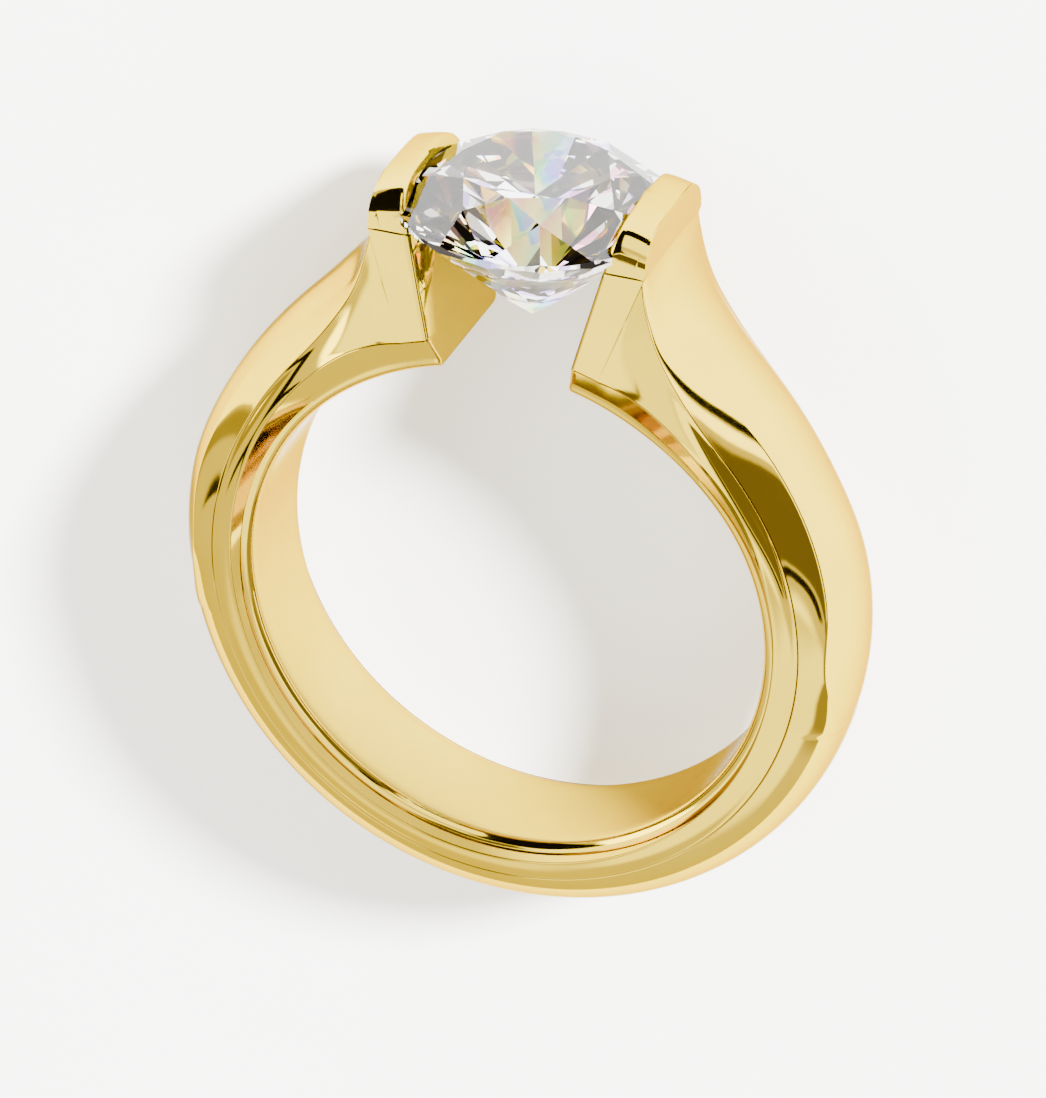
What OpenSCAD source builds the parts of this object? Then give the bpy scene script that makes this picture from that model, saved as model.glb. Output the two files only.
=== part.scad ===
// Tension set ring: one gold body, open at the top, and one round brilliant
// held by its girdle between the two ends of the body.
// Origin at the centre of the finger hole, +Z along the finger hole, +Y towards the stone.

/* [Finger hole] */
// Diameter of the finger hole
bore_d = 16.5; // [15:0.1:18]
// Rounding of the two rims of the finger hole
rim_round = 0.32; // [0.2:0.02:0.4]

/* [Gap and tips] */
// Half angle of the gap that the stone sits in
gap_half_angle = 13.8; // [13:0.2:15.6]
// Bevel round the flat ends that face the stone
end_bevel = 0.14; // [0.05:0.01:0.25]
// Height of the waist under each rounded tip, above the centre of the finger hole
waist_y = 12.3; // [12.1:0.1:12.6]
// Height of the top of each tip, above the centre of the finger hole
tip_y = 13.87; // [13.6:0.05:14.2]
// How much lower the top of each tip is at its outer edge
tip_fall = 0.38; // [0.1:0.02:0.4]
// Distance from the middle to the outer side of each tip
tip_x = 4.34; // [4.3:0.01:4.4]
// Half width of each tip
tip_z = 2.50; // [2.3:0.02:2.7]
// Squareness of the arch of each tip, 2 for an ellipse
tip_square = 3.0; // [2:0.1:3.6]

/* [Stone] */
// Diameter of the stone
stone_d = 8.2; // [7.8:0.1:8.4]
// Height of the middle of the girdle, above the centre of the finger hole
girdle_y = 12.75; // [12.6:0.05:12.9]
// Width of the table, as a share of the diameter
table_share = 0.57; // [0.53:0.01:0.62]
// Slope of the crown mains, in degrees
crown_slope = 34.5; // [32:0.5:36]
// Slope of the pavilion mains, in degrees
pavilion_slope = 40.8; // [40:0.2:42]
// Thickness of the girdle where two mains meet, as a share of the diameter
girdle_share = 0.03; // [0.02:0.005:0.05]
// Gap between the stone and its seat
seat_gap = 0.03; // [0.02:0.01:0.06]

/* [Hidden] */

bore_r = bore_d / 2;

// One row for each section, from an end of the body round to the back of the ring.
// Columns: angle from the stone, half length of the straight wall of the finger
// hole, radius and half width of the lower edge of the side face, radius and half
// width of its upper edge, and slope of the shoulder where it leaves that edge.
A = 0;
RIM_Z = 1;
LOW_R = 2;
LOW_Z = 3;
TOP_R = 4;
TOP_Z = 5;
SLOPE = 6;
SECTIONS = [
    [ 19.4, 2.10, 9.40, 2.88, 12.83, 2.50, 0.40],
    [ 20.0, 2.10, 9.42, 2.89, 12.58, 2.52, 0.50],
    [ 23.0, 2.10, 9.50, 2.93, 11.66, 2.56, 0.80],
    [ 26.0, 2.10, 9.54, 2.96, 11.08, 2.60, 1.10],
    [ 30.0, 2.10, 9.54, 2.99, 10.60, 2.64, 1.25],
    [ 35.0, 2.08, 9.46, 3.00, 10.20, 2.66, 1.25],
    [ 40.0, 2.05, 9.36, 2.97,  9.97, 2.64, 1.20],
    [ 50.0, 1.96, 9.16, 2.84,  9.72, 2.46, 1.00],
    [ 60.0, 1.86, 9.00, 2.70,  9.58, 2.32, 0.78],
    [ 70.0, 1.80, 8.88, 2.58,  9.52, 2.26, 0.54],
    [ 80.0, 1.76, 8.80, 2.52,  9.48, 2.24, 0.38],
    [ 88.0, 1.72, 8.74, 2.49,  9.46, 2.22, 0.30],
    [ 96.0, 1.70, 8.69, 2.47,  9.44, 2.20, 0.32],
    [104.0, 1.68, 8.66, 2.45,  9.42, 2.18, 0.34],
    [120.0, 1.65, 8.65, 2.44,  9.40, 2.16, 0.34],
    [180.0, 1.65, 8.65, 2.44,  9.40, 2.16, 0.34],
];

// The outside face, from a tip to the tongue where it runs out on the shank.
// Columns: angle from the stone, radius and half width of its edge, how much lower
// it is at 2 mm to either side of its middle line, and how full the shoulder is.
EDGE_R = 1;
EDGE_W = 2;
FALL = 3;
FULL = 4;
FACE = [
    [ 19.4, 13.06, 2.20, 0.05, 0.60],
    [ 20.0, 12.80, 2.18, 0.15, 0.60],
    [ 21.5, 12.30, 2.19, 0.34, 0.60],
    [ 23.0, 11.92, 2.18, 0.38, 0.60],
    [ 25.0, 11.54, 2.05, 0.48, 0.60],
    [ 27.0, 11.29, 1.95, 0.56, 0.60],
    [ 30.0, 11.06, 1.83, 0.64, 0.60],
    [ 36.0, 10.75, 1.65, 0.72, 0.62],
    [ 48.0, 10.53, 1.55, 0.76, 0.62],
    [ 60.0, 10.41, 1.57, 0.80, 0.62],
    [ 76.0, 10.36, 1.79, 0.78, 0.62],
    [ 80.0, 10.32, 1.83, 0.79, 0.62],
    [ 84.0, 10.24, 1.91, 0.80, 0.62],
    [ 88.0, 10.18, 1.96, 0.80, 0.64],
    [ 92.0, 10.21, 1.90, 0.80, 0.68],
    [ 96.0, 10.39, 1.62, 0.80, 0.76],
    [ 99.0, 10.57, 1.28, 0.80, 0.84],
    [101.0, 10.68, 1.00, 0.80, 0.90],
    [102.5, 10.76, 0.72, 0.80, 0.94],
    [103.5, 10.83, 0.42, 0.80, 0.97],
    [104.0, 10.87, 0.00, 0.80, 1.00],
];

// Smooth curve through a column of a table, with no overshoot between rows
function knot_slope(k, f, i) =
    let(n = len(k) - 1)
    i == 0 ? (f[1] - f[0]) / (k[1] - k[0])
    : i == n ? (f[n] - f[n - 1]) / (k[n] - k[n - 1])
    : let(
        before = (f[i] - f[i - 1]) / (k[i] - k[i - 1]),
        after = (f[i + 1] - f[i]) / (k[i + 1] - k[i])
    )
    before * after <= 0 ? 0 : 2 * before * after / (before + after);
function row_below(k, a) = max(0, min(len(k) - 2, len([for (v = k) if (v <= a) v]) - 1));
function curve(k, f, a) =
    let(
        i = row_below(k, a),
        h = k[i + 1] - k[i],
        t = max(0, min(1, (a - k[i]) / h)),
        s0 = knot_slope(k, f, i) * h,
        s1 = knot_slope(k, f, i + 1) * h
    )
    f[i] * (1 + 2 * t) * pow(1 - t, 2) + s0 * t * pow(1 - t, 2)
        + f[i + 1] * t * t * (3 - 2 * t) + s1 * t * t * (t - 1);

function column(table, c) = [for (row = table) row[c]];
function value(table, c, a) = curve(column(table, A), column(table, c), a);
tip_angle = SECTIONS[0][A];

// The same value, averaged over a few degrees so that the polished faces have no
// waves. The reach shrinks towards the tip and towards the last row of the table.
SHARES = [1, 2, 3, 2, 1];
reach_most = 4;
function reach_at(a, last) =
    max(0, min(reach_most, 0.25 * (a - tip_angle), 0.5 * (last - a)));
function smooth(table, c, a, last) =
    let(reach = reach_at(a, last))
    SHARES * [for (i = [-2 : 2]) value(table, c, a + reach * i / 2)] / (SHARES * [1, 1, 1, 1, 1]);
function body_value(c, a) = smooth(SECTIONS, c, a, 2 * 180);
function face_value(c, a) = smooth(FACE, c, a, FACE[len(FACE) - 1][A]);

// The shoulder leaves the upper edge of the side face at the slope asked for and
// turns over to the edge of the outside face. Full is how far out it keeps that slope.
arc_steps = 7;
face_steps = 4;
function shoulder(top_r, top_z, slope, edge_r, edge_w, full) =
    let(bend_r = full * (edge_r - top_r), bend = [top_r + bend_r, top_z - slope * bend_r])
    [for (i = [0 : arc_steps]) let(t = i / arc_steps)
        pow(1 - t, 2) * [top_r, top_z] + 2 * t * (1 - t) * bend + t * t * [edge_r, edge_w]];

// A tip is an arch over the waist, cut off by a flat at its outer side
function tip_arch(a) =
    let(
        foot = waist_y / cos(a),
        part = (a - gap_half_angle) / (tip_angle - gap_half_angle),
        high = (tip_y - tip_fall * pow(part, 1.5)) / cos(a) - foot,
        share = (tip_x / sin(a) - foot) / high
    )
    [for (i = [0 : arc_steps]) let(t = i / arc_steps * (share >= 1 ? 90 : asin(pow(share, tip_square / 2))))
        [foot + high * pow(sin(t), 2 / tip_square), tip_z * pow(cos(t), 2 / tip_square)]];

// Half of the section at an angle from the stone, from the finger hole outwards.
// The first point lies inside the finger hole, and the bore cuts it away.
spare_in = 0.45;
spare_drop = 0.06;
function half_section(a) =
    let(
        end_z = body_value(RIM_Z, a),
        side = a < tip_angle ? tip_arch(a)
            : shoulder(
                body_value(TOP_R, a), body_value(TOP_Z, a), body_value(SLOPE, a),
                face_value(EDGE_R, a), face_value(EDGE_W, a), face_value(FULL, a)
            ),
        edge = side[arc_steps],
        fall = face_value(FALL, a)
    )
    concat(
        [[bore_r - spare_in, end_z - spare_drop]],
        [for (t = [20 : 35 : 90]) [bore_r + rim_round * (1 - cos(t)), end_z + rim_round * sin(t)]],
        [[body_value(LOW_R, a), body_value(LOW_Z, a)]],
        side,
        [for (i = [1 : face_steps]) let(z = edge[1] * (1 - i / face_steps))
            [edge[0] + fall * (pow(edge[1], 2) - pow(z, 2)) / 4, z]]
    );

half_angles = concat(
    [gap_half_angle, gap_half_angle + 0.6],
    [for (a = [15.2 : 0.7 : 17]) a],
    [for (a = [17.4 : 0.25 : 19.2]) a],
    [tip_angle],
    [for (a = [19.8 : 0.8 : 23.5]) a],
    [for (a = [24.5 : 1.75 : 42]) a],
    [for (a = [44 : 3 : 94]) a],
    [for (a = [96 : 1.2 : 106]) a],
    [for (a = [110 : 5 : 175]) a]
);
turn = concat(half_angles, [180], [for (i = [len(half_angles) - 1 : -1 : 0]) 360 - half_angles[i]]);

// A closed loop of points in space for one section
function ring_loop(a) =
    let(
        near = a > 180 ? 360 - a : a,
        half = half_section(near),
        bevel = near < gap_half_angle + 0.1 ? end_bevel : 0,
        n = len(half),
        drawn = [for (i = [0 : n - 1]) let(p = half[i])
            [p[0] - (i > n / 2 ? bevel : 0), p[1] * (p[1] == 0 ? 1 : 1 - bevel / max(p[1], 1))]],
        loop = concat(drawn, [for (i = [n - 2 : -1 : 0]) [drawn[i][0], -drawn[i][1]]])
    )
    [for (p = loop) [p[0] * sin(a), p[0] * cos(a), p[1]]];

function reversed(list) = [for (i = [len(list) - 1 : -1 : 0]) list[i]];

module body_blank() {
    loops = [for (a = turn) ring_loop(a)];
    count = len(loops);
    size = len(loops[0]);
    half = (size - 1) / 2;
    points = [for (l = loops) for (p = l) p];
    walls = [for (s = [0 : count - 2]) for (i = [0 : size - 1]) let(
            j = (i + 1) % size,
            p = s * size + i,
            q = s * size + j,
            r = (s + 1) * size + j,
            u = (s + 1) * size + i
        ) each [[p, q, r], [p, r, u]]];
    caps = [for (end = [0, 1]) for (i = [0 : half - 1]) let(
            base = end * (count - 1) * size,
            quad = [base + i, base + size - 1 - i, base + size - 2 - i, base + i + 1],
            last = [quad[0], quad[1], quad[3]],
            face = i == half - 1 ? last : quad
        ) end == 0 ? face : reversed(face)];
    polyhedron(points = points, faces = concat(walls, caps), convexity = 6);
}

bore_length = 12;

module bore() {
    cylinder(d = bore_d, h = bore_length, center = true, $fn = 180);
}

// Corners of the stone about its own axis: eight main directions, and eight between
main_turns = [0 : 45 : 315];
half_turn = 22.5;
// Radius of the corners between the crown mains, and of the tips of the lower halves,
// as shares of the stone's radius
ridge_share = 0.763;
low_share = 0.23;
stone_r = stone_d / 2;
girdle_half = stone_r * girdle_share;
function around(r, t, y) = [r * sin(t), y, r * cos(t)];
function crown_y(r, off) = girdle_half + (stone_r - r * cos(off)) * tan(crown_slope);
function pavilion_y(r, off) = -girdle_half - (stone_r - r * cos(off)) * tan(pavilion_slope);
table_r = stone_r * table_share;
ridge_r = stone_r * ridge_share;
ridge_y = crown_y(ridge_r, half_turn);
low_r = stone_r * low_share;
outer_r = stone_r / cos(half_turn / 2);

// The space the stone takes up, a little larger all round
module seat() {
    r = stone_r + seat_gap;
    steep = 1.03;
    top = girdle_half + seat_gap;
    polygon_points = [
        [0, -top - r * tan(pavilion_slope) * steep],
        [r, -top],
        [r, top],
        [0, top + r * (ridge_y - girdle_half) / (stone_r - ridge_r) * steep]
    ];
    translate([0, girdle_y, 0])
        rotate([-90, 0, 0])
        rotate_extrude($fn = 96)
        polygon(polygon_points);
}

module ring_body() {
    color("goldenrod")
    difference() {
        body_blank();
        bore();
        seat();
    }
}

module brilliant() {
    points = concat(
        [for (t = main_turns) around(table_r, t, crown_y(table_r, 0))],
        [for (t = main_turns) around(ridge_r, t + half_turn, ridge_y)],
        [for (t = [0 : half_turn : 359]) around(outer_r, t, crown_y(outer_r, 0))],
        [for (t = [0 : half_turn : 359]) around(outer_r, t, pavilion_y(outer_r, 0))],
        [for (t = main_turns) around(low_r, t + half_turn, pavilion_y(low_r, half_turn))],
        [[0, pavilion_y(0, 0), 0]]
    );
    ridge = 8;
    upper = 16;
    lower = 32;
    bottom = 48;
    culet = 56;
    faces = concat(
        [[for (k = [0 : 7]) k]],
        [for (k = [0 : 7]) [k, ridge + k, (k + 1) % 8]],
        [for (k = [0 : 7]) [k, ridge + (k + 7) % 8, upper + 2 * k, ridge + k]],
        [for (k = [0 : 7]) [ridge + k, upper + 2 * k, upper + 2 * k + 1]],
        [for (k = [0 : 7]) [ridge + k, upper + 2 * k + 1, upper + (2 * k + 2) % 16]],
        [for (k = [0 : 15]) [upper + k, lower + k, lower + (k + 1) % 16, upper + (k + 1) % 16]],
        [for (k = [0 : 7]) [bottom + k, lower + 2 * k + 1, lower + 2 * k]],
        [for (k = [0 : 7]) [bottom + k, lower + (2 * k + 2) % 16, lower + 2 * k + 1]],
        [for (k = [0 : 7]) [culet, bottom + k, lower + 2 * k, bottom + (k + 7) % 8]]
    );
    polyhedron(points = points, faces = [for (f = faces) reversed(f)], convexity = 4);
}

module diamond() {
    color("lightcyan")
    translate([0, girdle_y, 0])
    intersection() {
        brilliant();
        rotate([-90, 0, 0])
            cylinder(d = stone_d, h = 2 * stone_d, center = true, $fn = 96);
    }
}

ring_body();
diamond();
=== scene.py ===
import math

import bmesh
import bpy
from mathutils import Euler, Matrix, Quaternion, Vector


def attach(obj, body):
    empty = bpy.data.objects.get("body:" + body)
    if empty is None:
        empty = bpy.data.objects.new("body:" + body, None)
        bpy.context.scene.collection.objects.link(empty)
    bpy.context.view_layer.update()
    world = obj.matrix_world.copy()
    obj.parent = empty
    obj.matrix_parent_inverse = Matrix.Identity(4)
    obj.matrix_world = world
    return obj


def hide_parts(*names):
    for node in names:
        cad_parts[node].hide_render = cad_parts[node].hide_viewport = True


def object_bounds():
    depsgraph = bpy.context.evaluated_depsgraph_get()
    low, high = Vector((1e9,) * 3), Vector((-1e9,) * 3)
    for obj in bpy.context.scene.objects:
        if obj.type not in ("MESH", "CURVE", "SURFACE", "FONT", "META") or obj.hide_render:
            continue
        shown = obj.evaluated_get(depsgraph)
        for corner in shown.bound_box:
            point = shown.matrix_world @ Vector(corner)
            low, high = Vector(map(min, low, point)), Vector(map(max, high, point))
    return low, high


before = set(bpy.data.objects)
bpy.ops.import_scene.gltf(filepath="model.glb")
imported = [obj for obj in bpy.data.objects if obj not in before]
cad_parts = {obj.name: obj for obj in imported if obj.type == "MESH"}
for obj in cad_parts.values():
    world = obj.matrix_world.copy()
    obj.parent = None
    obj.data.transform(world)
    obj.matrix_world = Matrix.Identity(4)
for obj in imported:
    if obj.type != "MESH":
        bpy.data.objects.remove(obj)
cad_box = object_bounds()

MM = 0.001
MERGE = 1e-7

# Gold body: the same named sizes as the CAD part, in millimetres and degrees
BORE_R = 8.25
RIM_ROUND = 0.32
GAP_HALF_ANGLE = 13.8
WAIST_Y = 12.3
TIP_Y = 13.87
TIP_FALL = 0.38
TIP_X = 4.34
TIP_Z = 2.50
TIP_SQUARE = 3.0
SIDE_SWELL = 0.02
EDGE_ROUND = 0.08
POINTED = 0.02
END_BEVEL = 0.13
# The line scored along an edge of the side face: how deep it is, how far from the
# edge the rounding beside it starts, and the shares of that where its points come
SCORE_DEPTH = 0.030
SCORE_REACH = 0.11
SCORE_SHARES = (1, 0.55, 0.30)
# Steps in half a section, from the finger hole's wall round to the outside
WALL_STEPS = 5
RIM_STEPS = 5
BAND_STEPS = 4
FACE_STEPS = 9
SIDE_STEPS = 14
EDGE_STEPS = 4
DOME_STEPS = 8

# Stone
STONE_R = 4.1
GIRDLE_Y = 12.75
TABLE_SHARE = 0.57
CROWN_SLOPE = 34.5
PAVILION_SLOPE = 40.8
GIRDLE_HALF = STONE_R * 0.03
TABLE_R = STONE_R * TABLE_SHARE
RIDGE_R = STONE_R * 0.763
PAVILION_RIDGE_R = STONE_R * 0.23
SEAT_GAP = 0.03
SEAT_STEEPER = 1.03

# Columns: angle, half length of the bore wall, radius and half width of the lower
# edge of the side face, of its upper edge, and slope of the shoulder there
SECTIONS = (
    (19.4, 2.10, 9.40, 2.88, 12.83, 2.50, 0.40),
    (20.0, 2.10, 9.42, 2.89, 12.58, 2.52, 0.50),
    (23.0, 2.10, 9.50, 2.93, 11.66, 2.56, 0.80),
    (26.0, 2.10, 9.54, 2.96, 11.08, 2.60, 1.10),
    (30.0, 2.10, 9.54, 2.99, 10.60, 2.64, 1.25),
    (35.0, 2.08, 9.46, 3.00, 10.20, 2.66, 1.25),
    (40.0, 2.05, 9.36, 2.97, 9.97, 2.64, 1.20),
    (50.0, 1.96, 9.16, 2.84, 9.72, 2.46, 1.00),
    (60.0, 1.86, 9.00, 2.70, 9.58, 2.32, 0.78),
    (70.0, 1.80, 8.88, 2.58, 9.52, 2.26, 0.54),
    (80.0, 1.76, 8.80, 2.52, 9.48, 2.24, 0.38),
    (88.0, 1.72, 8.74, 2.49, 9.46, 2.22, 0.30),
    (96.0, 1.70, 8.69, 2.47, 9.44, 2.20, 0.32),
    (104.0, 1.68, 8.66, 2.45, 9.42, 2.18, 0.34),
    (120.0, 1.65, 8.65, 2.44, 9.40, 2.16, 0.34),
    (180.0, 1.65, 8.65, 2.44, 9.40, 2.16, 0.34),
)
FALL_AT = 2
# Columns: angle, radius and half width of the edge of the outside face, how much
# lower it is at FALL_AT from its middle line, and how full the shoulder is
OUTSIDE = (
    (19.4, 13.06, 2.20, 0.05, 0.60),
    (20.0, 12.80, 2.18, 0.15, 0.60),
    (21.5, 12.30, 2.19, 0.34, 0.60),
    (23.0, 11.92, 2.18, 0.38, 0.60),
    (25.0, 11.54, 2.05, 0.48, 0.60),
    (27.0, 11.29, 1.95, 0.56, 0.60),
    (30.0, 11.06, 1.83, 0.64, 0.60),
    (36.0, 10.75, 1.65, 0.72, 0.62),
    (48.0, 10.53, 1.55, 0.76, 0.62),
    (60.0, 10.41, 1.57, 0.80, 0.62),
    (76.0, 10.36, 1.79, 0.78, 0.62),
    (80.0, 10.32, 1.83, 0.79, 0.62),
    (84.0, 10.24, 1.91, 0.80, 0.62),
    (88.0, 10.18, 1.96, 0.80, 0.64),
    (92.0, 10.21, 1.90, 0.80, 0.68),
    (96.0, 10.39, 1.62, 0.80, 0.76),
    (99.0, 10.57, 1.28, 0.80, 0.84),
    (101.0, 10.68, 1.00, 0.80, 0.90),
    (102.5, 10.76, 0.72, 0.80, 0.94),
    (103.5, 10.83, 0.42, 0.80, 0.97),
    (104.0, 10.87, 0.00, 0.80, 1.00),
)
# Columns: first angle, last angle, and step between the sections of the loft
RUNS = (
    (15.2, 17.2, 0.5),
    (17.2, SECTIONS[0][0], 0.1),
    (SECTIONS[0][0], 19.5, 0.1),
    (19.5, 24.0, 0.25),
    (24.0, 44.0, 0.7),
    (44.0, 92.0, 1.5),
    (92.0, 104.5, 0.4),
    (104.5, 180.0, 2.2),
)
# A table's value is averaged over a reach that grows with the angle, up to a most
CALM_SHARES = (1, 2, 3, 2, 1)
CALM_GROWTH = 0.25
CALM_MOST = 4


# Smooth curves through the tables


def knot_slope(table, column, i):
    """The slope at a row of the table that keeps the curve from overshooting"""
    def step(j):
        return (table[j + 1][column] - table[j][column]) / (table[j + 1][0] - table[j][0])

    if i == 0:
        return step(0)
    if i == len(table) - 1:
        return step(i - 1)
    before, after = step(i - 1), step(i)
    return 0 if before * after <= 0 else 2 * before * after / (before + after)


def value(table, column, angle):
    """The height of the curve through a column of the table"""
    i = max([0] + [j for j in range(len(table) - 1) if table[j][0] <= angle])
    span = table[i + 1][0] - table[i][0]
    t = min(1, max(0, (angle - table[i][0]) / span))
    low, high = table[i][column], table[i + 1][column]
    s0 = knot_slope(table, column, i) * span
    s1 = knot_slope(table, column, i + 1) * span
    return (
        low * (1 + 2 * t) * (1 - t) ** 2 + s0 * t * (1 - t) ** 2
        + high * t * t * (3 - 2 * t) + s1 * t * t * (t - 1)
    )


def smooth(table, column, angle, last=181):
    """The table's value, averaged so that the polished faces have no waves"""
    reach = max(0, min(CALM_MOST, CALM_GROWTH * (angle - table[0][0]), (last - angle) / 2))
    return sum(
        share * value(table, column, angle + reach * (i - 2) / 2)
        for i, share in enumerate(CALM_SHARES)
    ) / sum(CALM_SHARES)


def bend(start, corner, end, steps):
    """Points along a smooth bend that a corner pulls"""
    points = []
    for i in range(steps + 1):
        t = i / steps
        points.append(start * (1 - t) ** 2 + corner * (2 * t * (1 - t)) + end * t * t)
    return points


def line(start, end, steps):
    """The points between the ends of a straight line"""
    return [start.lerp(end, i / steps) for i in range(1, steps)]


def crowned(start, end, steps):
    """A line that swells a little in its middle"""
    across = end - start
    out = Vector((-across[1], across[0])).normalized() * SIDE_SWELL
    if out[1] < 0:
        out = -out
    return [
        start.lerp(end, i / steps) + out * (4 * i * (steps - i) / steps ** 2)
        for i in range(1, steps)
    ]


def beside(before, corner, after, reach):
    """Steps from a corner, back along one line and on along the next, under half of each"""
    def step(end):
        away = end - corner
        return away.normalized() * min(reach, away.length * 0.4)

    return step(before), step(after)


def softened(before, corner, after, reach):
    """A small rounding in place of a corner"""
    back, on = beside(before, corner, after, reach)
    return bend(corner + back, corner, corner + on, EDGE_STEPS)


def scored(before, corner, after):
    """A rounded edge with a fine line scored along it, its bottom in the middle"""
    back, on = beside(before, corner, after, SCORE_REACH)
    across = on - back
    into = -Vector((abs(across[1]), across[0])).normalized()
    return (
        [corner + back * share for share in SCORE_SHARES]
        + [corner + into * SCORE_DEPTH]
        + [corner + on * share for share in reversed(SCORE_SHARES)]
    )


# The gold body


def tip_side(angle, steps):
    """The arch of a tip, from its waist to the flat at its outer side"""
    turn = math.radians(angle)
    foot = WAIST_Y / math.cos(turn)
    part = (angle - GAP_HALF_ANGLE) / (SECTIONS[0][0] - GAP_HALF_ANGLE)
    high = (TIP_Y - TIP_FALL * max(0, part) ** 1.5) / math.cos(turn) - foot
    share = (TIP_X / math.sin(turn) - foot) / high
    last = math.pi / 2 if share >= 1 else math.asin(share ** (TIP_SQUARE / 2))
    points = []
    for i in range(steps + 1):
        t = last * i / steps
        points.append(Vector((
            foot + high * math.sin(t) ** (2 / TIP_SQUARE),
            TIP_Z * max(0, math.cos(t)) ** (2 / TIP_SQUARE),
        )))
    return points


def outside(column, angle):
    """A size of the outside face"""
    return smooth(OUTSIDE, column, angle, last=OUTSIDE[-1][0])


def shoulder_side(angle, steps):
    """The hollow shoulder, from the side face to the edge of the outside face"""
    top = Vector((smooth(SECTIONS, 4, angle), smooth(SECTIONS, 5, angle)))
    edge = Vector((outside(1, angle), outside(2, angle)))
    out = outside(4, angle) * (edge[0] - top[0])
    pull = Vector((top[0] + out, top[1] - smooth(SECTIONS, 6, angle) * out))
    return bend(top, pull, edge, steps)


def half_section(angle):
    """From the middle of the finger hole's wall round to the middle of the outside"""
    rim = smooth(SECTIONS, 1, angle)
    low = Vector((smooth(SECTIONS, 2, angle), smooth(SECTIONS, 3, angle)))
    on_tip = angle < SECTIONS[0][0]
    side = tip_side(angle, SIDE_STEPS) if on_tip else shoulder_side(angle, SIDE_STEPS)
    wall = [Vector((BORE_R, rim * i / WALL_STEPS)) for i in range(WALL_STEPS)]
    rounding = []
    for i in range(RIM_STEPS + 1):
        turn = math.radians(90 * i / RIM_STEPS)
        rounding.append(Vector((
            BORE_R + RIM_ROUND * (1 - math.cos(turn)), rim + RIM_ROUND * math.sin(turn),
        )))
    foot = scored(rounding[-1], low, side[0])
    crest = scored(low, side[0], side[2])
    edge = side[-1]
    fall = outside(3, angle)
    dome = []
    for i in range(DOME_STEPS + 1):
        off = edge[1] * (1 - i / DOME_STEPS)
        dome.append(Vector((edge[0] + fall * (edge[1] ** 2 - off ** 2) / FALL_AT ** 2, off)))
    if edge[1] > POINTED:
        corner = softened(side[-2], edge, dome[2], EDGE_ROUND * min(1, edge[1]))
    else:
        corner = [edge] * (EDGE_STEPS + 1)
    return (
        wall + rounding
        + line(rounding[-1], foot[0], BAND_STEPS) + foot
        + crowned(foot[-1], crest[0], FACE_STEPS) + crest
        + side[2:-1] + corner + dome[2:]
    )


def scored_places(count):
    """Where the bottoms of the scored lines come in a closed row of so many points"""
    foot = WALL_STEPS + RIM_STEPS + BAND_STEPS + len(SCORE_SHARES)
    crest = foot + FACE_STEPS + 2 * len(SCORE_SHARES)
    return {foot, crest, count - foot, count - crest}


def ring_section(angle):
    """A closed row of points round the gold at an angle from the stone"""
    near = 360 - angle if angle > 180 else angle
    half = half_section(near)
    back = [Vector((p[0], -p[1])) for p in reversed(half[1:-1])]
    turn = math.radians(angle)
    return [
        Vector((p[0] * math.sin(turn), p[0] * math.cos(turn), p[1])) * MM
        for p in half + back
    ]


def spread(first, last, step):
    """Evenly spread angles, about a step apart, without the last one"""
    count = max(1, round((last - first) / step))
    return [first + (last - first) * i / count for i in range(count)]


def loft(bm, rows):
    """Extrudes a closed row of points from each section to the next, with the bottoms of the scored lines
    marked where the gold gets painted shade, and gives back the edges of the first and the last one"""
    # The "scored" layer marks the bottoms of the scored lines, where painted shade darkens the gold
    painted_shade_layer = bm.verts.layers.float.new("scored")
    painted_shade_places = scored_places(len(rows[0]))
    ring = [bm.verts.new(p) for p in rows[0]]
    edges = [bm.edges.new((ring[i - 1], ring[i])) for i in range(len(ring))]
    ends = [edges]
    for row in rows[1:]:
        made = bmesh.ops.extrude_edge_only(bm, edges=edges)["geom"]
        fresh = {v for v in made if isinstance(v, bmesh.types.BMVert)}
        ring = [
            next(e.other_vert(v) for e in v.link_edges if e.other_vert(v) in fresh)
            for v in ring
        ]
        edges = [e for e in made if isinstance(e, bmesh.types.BMEdge) and fresh.issuperset(e.verts)]
        for vert, point in zip(ring, row):
            vert.co = point
        for place in painted_shade_places:
            ring[place][painted_shade_layer] = 1
    ends.append(edges)
    return ends


def finished(name, bm, smooth_below=40):
    """Turns the work into a piece, smooth where its faces meet at less than an angle"""
    bmesh.ops.recalc_face_normals(bm, faces=bm.faces)
    mesh = bpy.data.meshes.new(name)
    bm.to_mesh(mesh)
    bm.free()
    mesh.polygons.foreach_set("use_smooth", [True] * len(mesh.polygons))
    mesh.set_sharp_from_angle(angle=math.radians(smooth_below))
    piece = bpy.data.objects.new(name, mesh)
    bpy.context.scene.collection.objects.link(piece)
    return piece


def gold_blank():
    """The open ring with its ends closed and bevelled, before the seat is cut"""
    half = [GAP_HALF_ANGLE] + [angle for run in RUNS for angle in spread(*run)]
    angles = half + [180] + [360 - a for a in reversed(half)]
    bm = bmesh.new()
    caps = []
    for edges in loft(bm, [ring_section(a) for a in angles]):
        caps += bmesh.ops.contextual_create(bm, geom=edges)["faces"]
    bmesh.ops.recalc_face_normals(bm, faces=bm.faces)
    rims = list({e for f in caps for e in f.edges})
    bmesh.ops.bevel(
        bm, geom=rims, offset=END_BEVEL * MM, offset_type="OFFSET", segments=4,
        profile=0.5, affect="EDGES", material=-1, clamp_overlap=False,
    )
    return bm


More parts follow.
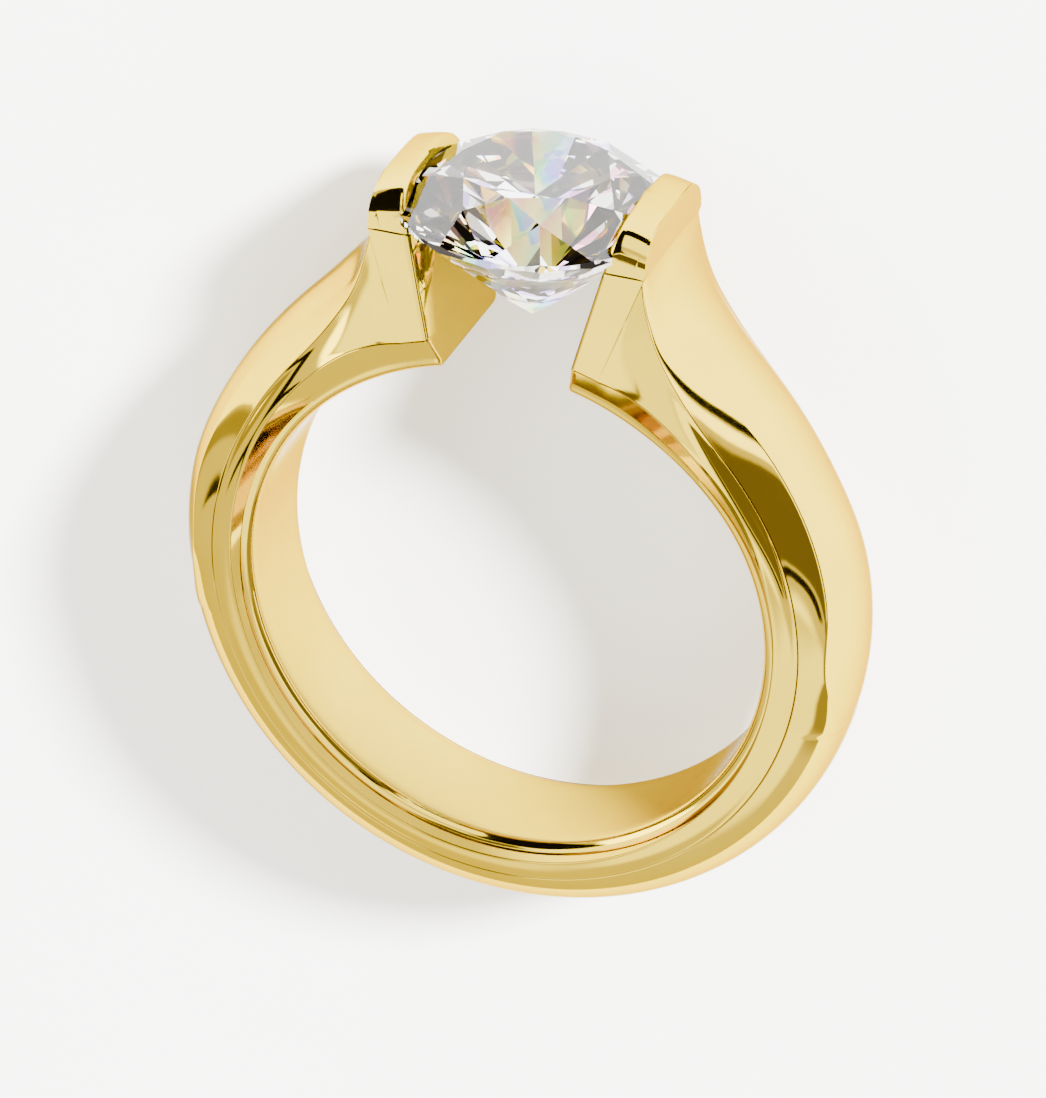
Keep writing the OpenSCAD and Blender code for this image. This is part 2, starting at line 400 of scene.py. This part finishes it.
def seat_cutter():
    """The space of the stone, a little larger all round, with the satin finish"""
    r = STONE_R + SEAT_GAP
    top = GIRDLE_HALF + SEAT_GAP
    ridge_y = crown_height(RIDGE_R, 22.5) - GIRDLE_HALF
    profile = [
        (0, -top - r * math.tan(math.radians(PAVILION_SLOPE)) * SEAT_STEEPER),
        (r, -top),
        (r, top),
        (0, top + r * ridge_y / (STONE_R - RIDGE_R) * SEAT_STEEPER),
    ]
    bm = bmesh.new()
    points = [bm.verts.new((x * MM, (y + GIRDLE_Y) * MM, 0)) for x, y in profile]
    edges = [bm.edges.new((points[i], points[i + 1])) for i in range(3)]
    bmesh.ops.spin(
        bm, geom=points + edges, cent=(0, 0, 0), axis=(0, 1, 0), angle=math.tau,
        steps=144, use_merge=True, use_duplicate=False,
    )
    bmesh.ops.remove_doubles(bm, verts=bm.verts, dist=MERGE)
    for face in bm.faces:
        face.material_index = 1
    return finished("seat_cutter", bm)


def carved(piece, cutter):
    """The piece with the cutter's space taken out"""
    cut = piece.modifiers.new("seat", "BOOLEAN")
    cut.operation = "DIFFERENCE"
    cut.solver = "EXACT"
    cut.object = cutter
    graph = bpy.context.evaluated_depsgraph_get()
    mesh = bpy.data.meshes.new_from_object(piece.evaluated_get(graph))
    piece.modifiers.clear()
    piece.data = mesh
    bpy.data.objects.remove(cutter)
    mesh.polygons.foreach_set("use_smooth", [True] * len(mesh.polygons))
    mesh.set_sharp_from_angle(angle=math.radians(32))
    return piece


# The stone, cut facet by facet from a round blank


def crown_height(r, off):
    """How high a point of a crown facet is, so far off the facet's middle line"""
    rise = (STONE_R - r * math.cos(math.radians(off))) * math.tan(math.radians(CROWN_SLOPE))
    return GIRDLE_HALF + rise


def pavilion_height(r, off):
    """How high a point of a pavilion facet is, so far off the facet's middle line"""
    drop = (STONE_R - r * math.cos(math.radians(off))) * math.tan(math.radians(PAVILION_SLOPE))
    return -GIRDLE_HALF - drop


def on_stone(r, turn, y):
    """A point at a radius, an angle round the stone and a height"""
    turn = math.radians(turn)
    return Vector((r * math.sin(turn), y, r * math.cos(turn)))


def facet(bm, a, b, c):
    """Grinds the flat through three points, and closes it"""
    normal = (b - a).cross(c - a).normalized()
    if normal.dot(a) < 0:
        normal = -normal
    cut = bmesh.ops.bisect_plane(
        bm, geom=bm.verts[:] + bm.edges[:] + bm.faces[:], dist=MERGE,
        plane_co=a, plane_no=normal, clear_outer=True,
    )
    rim = [e for e in cut["geom_cut"] if isinstance(e, bmesh.types.BMEdge)]
    if len(rim) > 2:
        bmesh.ops.contextual_create(bm, geom=rim)


def stone_blank():
    """The round brilliant, ground from a cylinder"""
    bm = bmesh.new()
    bmesh.ops.create_cone(
        bm, cap_ends=True, cap_tris=False, segments=96,
        radius1=STONE_R, radius2=STONE_R, depth=4 * STONE_R,
    )
    bmesh.ops.rotate(bm, verts=bm.verts, cent=(0, 0, 0), matrix=Matrix.Rotation(math.pi / 2, 3, "X"))
    outer_r = STONE_R / math.cos(math.radians(11.25))
    table = [on_stone(TABLE_R, 45 * k, crown_height(TABLE_R, 0)) for k in range(9)]
    ridge = [on_stone(RIDGE_R, 45 * k + 22.5, crown_height(RIDGE_R, 22.5)) for k in range(8)]
    upper = [on_stone(outer_r, 22.5 * k, crown_height(outer_r, 0)) for k in range(17)]
    lower = [on_stone(outer_r, 22.5 * k, pavilion_height(outer_r, 0)) for k in range(17)]
    low_y = pavilion_height(PAVILION_RIDGE_R, 22.5)
    bottom = [on_stone(PAVILION_RIDGE_R, 45 * k + 22.5, low_y) for k in range(8)]
    culet = on_stone(0, 0, pavilion_height(0, 0))
    facet(bm, table[0], table[2], table[5])
    for k in range(8):
        facet(bm, table[k], upper[2 * k], ridge[k])
        facet(bm, table[k], table[k + 1], ridge[k])
        facet(bm, ridge[k], upper[2 * k], upper[2 * k + 1])
        facet(bm, ridge[k], upper[2 * k + 1], upper[2 * k + 2])
        facet(bm, culet, lower[2 * k], bottom[k])
        facet(bm, bottom[k], lower[2 * k], lower[2 * k + 1])
        facet(bm, bottom[k], lower[2 * k + 1], lower[2 * k + 2])
    bmesh.ops.translate(bm, verts=bm.verts, vec=(0, GIRDLE_Y, 0))
    bmesh.ops.scale(bm, verts=bm.verts, vec=(MM, MM, MM))
    return bm


# Shader maths


class Wire:
    """A socket that takes part in Python arithmetic"""

    def __init__(self, paint, socket):
        self.paint, self.socket = paint, socket

    def _math(self, kind, *values):
        return self.paint.node("ShaderNodeMath", {"operation": kind}, *values)

    def __add__(self, other):
        return self._math("ADD", self, other)

    __radd__ = __add__

    def __sub__(self, other):
        return self._math("SUBTRACT", self, other)

    def __rsub__(self, other):
        return self._math("SUBTRACT", other, self)

    def __mul__(self, other):
        return self._math("MULTIPLY", self, other)

    __rmul__ = __mul__

    def __truediv__(self, other):
        return self._math("DIVIDE", self, other)

    def __abs__(self):
        return self._math("ABSOLUTE", self)


class Paint:
    """The nodes of a material or of the studio's light, and the one way to add one"""

    def __init__(self, holder):
        self.holder = holder
        holder.use_nodes = True
        self.tree = holder.node_tree
        self.tree.nodes.clear()

    def node(self, kind, settings=None, *values, out=0, **named):
        """Adds a node: its settings first, then its sockets by place (None skips one) or name"""
        node = self.tree.nodes.new(kind)
        for key, setting in (settings or {}).items():
            if key == "stops":
                ramp = node.color_ramp
                while len(ramp.elements) > 2:
                    ramp.elements.remove(ramp.elements[-1])
                for i, (place, colour) in enumerate(setting):
                    stop = ramp.elements[i] if i < 2 else ramp.elements.new(place)
                    stop.position, stop.color = place, colour
            else:
                setattr(node, key, setting)
        sockets = list(enumerate(values)) + [(k.replace("_", " "), v) for k, v in named.items()]
        for key, given in sockets:
            if given is None:
                continue
            if isinstance(given, Wire):
                self.tree.links.new(given.socket, node.inputs[key])
            else:
                node.inputs[key].default_value = given
        return Wire(self, node.outputs[out]) if len(node.outputs) else node

    def share(self, place, axis):
        """How far a place or a direction goes along an axis"""
        return self.node("ShaderNodeVectorMath", {"operation": "DOT_PRODUCT"}, place, axis, out=1)

    def mixed(self, share, base, over):
        """One colour laid over another"""
        unused = [None] * 5
        return self.node("ShaderNodeMix", {"data_type": "RGBA"}, share, *unused, base, over, out=2)

    def surface(self, shader, output="ShaderNodeOutputMaterial"):
        """Ends the material or the light, and gives it back"""
        self.node(output, None, Surface=shader)
        return self.holder


def yellow_gold(name, dullness):
    """Polished or satin gold, with painted shade making it darker along the scored lines"""
    paint = Paint(bpy.data.materials.new(name))
    place = paint.node("ShaderNodeTexCoord", out="Object")
    cloud = paint.node("ShaderNodeTexNoise", None, Vector=place, Scale=420.0, Detail=3.0, Roughness=0.55)
    haze = paint.node("ShaderNodeTexNoise", None, Vector=place, Scale=2600.0, Detail=2.0, Roughness=0.6)
    tone = paint.node(
        "ShaderNodeValToRGB",
        {"stops": [(0.30, (0.58, 0.412, 0.018, 1)), (0.70, (0.62, 0.446, 0.024, 1))]},
        cloud,
    )
    # Painted shade: the bottoms of the scored lines are painted dark brown, in place of the dark
    # reflections along the edges; the same mask also dulls them
    groove_painted_shade = paint.node("ShaderNodeAttribute", {"attribute_name": "scored"}, out="Fac")
    tone = paint.mixed(groove_painted_shade, tone, (0.085, 0.032, 0.001, 1))
    rough = dullness + 0.03 * cloud + 0.015 * haze + 0.2 * groove_painted_shade
    ripple = paint.node("ShaderNodeBump", None, Strength=0.02, Distance=0.00002, Height=haze)
    return paint.surface(paint.node(
        "ShaderNodeBsdfPrincipled", None,
        Base_Color=tone, Metallic=1.0, Roughness=rough, Normal=ripple,
        Specular_Tint=(0.60, 0.44, 0.07, 1),
    ))


# Directions along and across the large patch of painted fire, with a step of a millimetre
PAINTED_FIRE_ALONG = (580.0, 0.0, 810.0)
PAINTED_FIRE_ACROSS = (810.0, 0.0, -580.0)


def clear_diamond():
    """Colourless, with painted fire: patches of rainbow colour painted on the stone stand in for light
    split into its colours
    """
    paint = Paint(bpy.data.materials.new("clear_diamond"))
    place = paint.node("ShaderNodeTexCoord", out="Object")
    along = paint.share(place, PAINTED_FIRE_ALONG)
    across = paint.share(place, PAINTED_FIRE_ACROSS)
    # Painted fire: masks of one large patch and of small scattered patches, where rainbow colours are
    # painted into the stone's colour
    big_painted_fire = (
        paint.node("ShaderNodeMapRange", None, abs(across - 0.15 - 0.12 * along), 0.42, 0.62, 1.0, 0.0)
        * paint.node("ShaderNodeMapRange", None, abs(along + 0.2), 1.5, 1.9, 1.0, 0.0)
    )
    patch = paint.node("ShaderNodeTexVoronoi", None, Vector=place, Scale=1100.0, out="Color")
    chance = paint.node("ShaderNodeSeparateColor", None, patch)
    small_painted_fire = paint.node("ShaderNodeMapRange", None, chance, 0.78, 0.84, 0.0, 0.9)
    band = 0.5 + 0.22 * along + 0.30 * across + 0.8 * (chance - 0.5) * small_painted_fire
    painted_fire = paint.node(
        "ShaderNodeValToRGB",
        {"stops": [
            (0.05, (0.95, 0.10, 0.32, 1)), (0.25, (1.00, 0.28, 0.06, 1)),
            (0.42, (0.98, 0.92, 0.08, 1)), (0.60, (0.08, 0.85, 0.26, 1)),
            (0.78, (0.06, 0.28, 1.00, 1)), (0.95, (0.30, 0.12, 0.95, 1)),
        ]},
        band,
    )
    painted_fire_share = paint.node("ShaderNodeMath", {"operation": "MAXIMUM"}, big_painted_fire, small_painted_fire)
    tone = paint.mixed(painted_fire_share, (0.965, 0.98, 1.0, 1), painted_fire)
    return paint.surface(paint.node(
        "ShaderNodeBsdfPrincipled", None,
        Base_Color=tone, Metallic=0.0, Roughness=0.0, IOR=2.417,
        Transmission_Weight=1.0, Specular_Tint=(0.32, 0.32, 0.33, 1),
    ))


def pale_floor():
    """Matt paper with a faint grain"""
    paint = Paint(bpy.data.materials.new("pale_floor"))
    place = paint.node("ShaderNodeTexCoord", out="Object")
    grain = paint.node("ShaderNodeTexNoise", None, Vector=place, Scale=90.0, Detail=4.0)
    tone = paint.node(
        "ShaderNodeValToRGB",
        {"stops": [(0.3, (0.90, 0.90, 0.90, 1)), (0.7, (0.93, 0.93, 0.93, 1))]},
        grain,
    )
    return paint.surface(paint.node(
        "ShaderNodeBsdfPrincipled", None, Base_Color=tone, Roughness=0.85,
    ))


def dressed(piece, node):
    """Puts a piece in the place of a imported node"""
    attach(piece, "root")
    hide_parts(node)


body = finished("gold_body", gold_blank())
cutter = seat_cutter()
for finish in (yellow_gold("polished_gold", 0.035), yellow_gold("satin_gold", 0.26)):
    body.data.materials.append(finish)
    cutter.data.materials.append(finish)
carved(body, cutter)
dressed(body, "ring_body")
stone = finished("cut_diamond", stone_blank(), smooth_below=5)
stone.data.materials.append(clear_diamond())
dressed(stone, "diamond")

# Floor and light

floor_bm = bmesh.new()
bmesh.ops.create_grid(floor_bm, x_segments=2, y_segments=2, size=1.2)
bmesh.ops.translate(floor_bm, verts=floor_bm.verts, vec=(0, 0, cad_box[0][2]))
floor = finished("floor", floor_bm)
floor.data.materials.append(pale_floor())


# The studio's own brightness, the tints of its dark and bright parts, and the
# brightness of the backdrop that the camera sees
STUDIO = 2.1
DIM_TINT = (1.0, 0.82, 0.62, 1)
BRIGHT_TINT = (1.0, 0.99, 0.92, 1)
BACKDROP = 8.0
# Columns: degrees round from +X, degrees up from the floor, half width and half height
# as tangents, degrees of roll, softness of the edge, brightness
CARDS = (
    (90.0, 90.0, 0.40, 0.40, 0, 0.30, 4.0),
    (90.0, 25.0, 0.34, 0.55, 0, 0.12, 5.0),
    (88.0, 4.0, 0.24, 0.20, 0, 0.03, 0.015),
    (62.0, 32.0, 0.07, 0.55, 8, 0.03, 0.02),
    (25.0, 34.0, 0.85, 0.30, -8, 0.04, 0.35),
    (20.0, 53.0, 0.60, 0.035, -8, 0.02, 0.01),
    (330.0, 18.0, 0.42, 0.34, 0, 0.15, 0.80),
    (285.0, 42.0, 0.42, 0.28, 0, 0.15, 4.5),
    (240.0, 30.0, 0.30, 0.22, 0, 0.15, 3.4),
    (355.0, 62.0, 0.36, 0.10, 0, 0.08, 5.5),
    (8.0, 11.0, 0.50, 0.06, 0, 0.03, 8.0),
    (12.0, 3.0, 0.70, 0.05, 0, 0.02, 0.01),
    (205.0, 62.0, 0.50, 0.24, -25, 0.10, 5.0),
    (163.0, 34.0, 0.42, 0.22, 62, 0.06, 12.0),
    (176.0, 16.0, 0.55, 0.07, 20, 0.03, 0.01),
    (185.0, 5.0, 0.50, 0.07, 0, 0.05, 0.9),
    (124.0, 34.0, 0.75, 0.27, 68, 0.03, 0.012),
    (150.0, 64.0, 0.12, 0.07, 0, 0.03, 0.02),
    (180.0, 76.0, 0.16, 0.10, 0, 0.04, 0.25),
)


def card(paint, way, light, azimuth, height, wide, high, roll, soft, glow):
    """One card of the studio, bright or black, laid over what is behind it"""
    middle = Vector((0, 0, 1))
    middle.rotate(Euler((0, math.radians(90 - height), math.radians(azimuth))))
    along = Vector((0, 1, 0)) if height > 89 else middle.cross(Vector((0, 0, -1))).normalized()
    along.rotate(Quaternion(middle, math.radians(roll)))
    up = middle.cross(along)

    ahead = paint.node("ShaderNodeMath", {"operation": "MAXIMUM"}, paint.share(way, middle[:]), 0.02)
    facing = paint.node("ShaderNodeMath", {"operation": "GREATER_THAN"}, ahead, 0.02)

    def inside(axis, reach):
        return paint.node(
            "ShaderNodeMapRange", {"interpolation_type": "SMOOTHSTEP"},
            abs(paint.share(way, axis[:]) / ahead), reach - soft / 2, reach + soft / 2, 1.0, 0.0,
        )

    mask = inside(along, wide) * inside(up, high) * facing
    return light + mask * (glow - light)


def studio_light():
    """Soft cards all round, seen in the polish and the stone"""
    paint = Paint(bpy.data.worlds.new("studio"))
    way = paint.node("ShaderNodeTexCoord", out="Generated")
    light = STUDIO
    for row in CARDS:
        light = card(paint, way, light, *row)
    seen = paint.node("ShaderNodeLightPath", out="Is Camera Ray")
    light = light + seen * (BACKDROP - light)
    tint = paint.node(
        "ShaderNodeValToRGB", {"stops": [(0.0, DIM_TINT), (0.5, BRIGHT_TINT)]}, light / BACKDROP,
    )
    return paint.surface(
        paint.node("ShaderNodeBackground", None, Color=tint, Strength=light),
        "ShaderNodeOutputWorld",
    )


bpy.context.scene.world = studio_light()

# The key lamp comes low from the upper right and draws the soft shadow
KEY_HEIGHT = 29
KEY_TURN = 40
key = bpy.data.lights.new("key", "SUN")
key.energy = 36
key.angle = math.radians(9)
lamp = bpy.data.objects.new("key", key)
lamp.matrix_world = Euler((0, math.radians(90 - KEY_HEIGHT), math.radians(KEY_TURN))).to_matrix().to_4x4()
lamp.visible_glossy = False
lamp.visible_transmission = False
bpy.context.scene.collection.objects.link(lamp)

# The photograph's own angle: where the camera stands, its axes, and its focal length
# in pixels of the photograph
PHOTO_HEIGHT = 1098
FOCAL_LENGTH = 7000
EYE = Vector((62.424, 107.761, 173.019)) * MM
RIGHT = Vector((0.93627, 0.01975, -0.35073))
DOWN = Vector((0.19215, -0.86460, 0.46426))
AHEAD = Vector((-0.29407, -0.50207, -0.81330))
camera_data = bpy.data.cameras.new("camera")
camera_data.sensor_width = 36
camera_data.lens = camera_data.sensor_width * FOCAL_LENGTH / PHOTO_HEIGHT
camera_data.clip_start = 0.01
camera = bpy.data.objects.new("camera", camera_data)
camera.matrix_world = Matrix.Translation(EYE) @ Matrix((RIGHT, -DOWN, -AHEAD)).transposed().to_4x4()
bpy.context.scene.collection.objects.link(camera)
bpy.context.scene.camera = camera
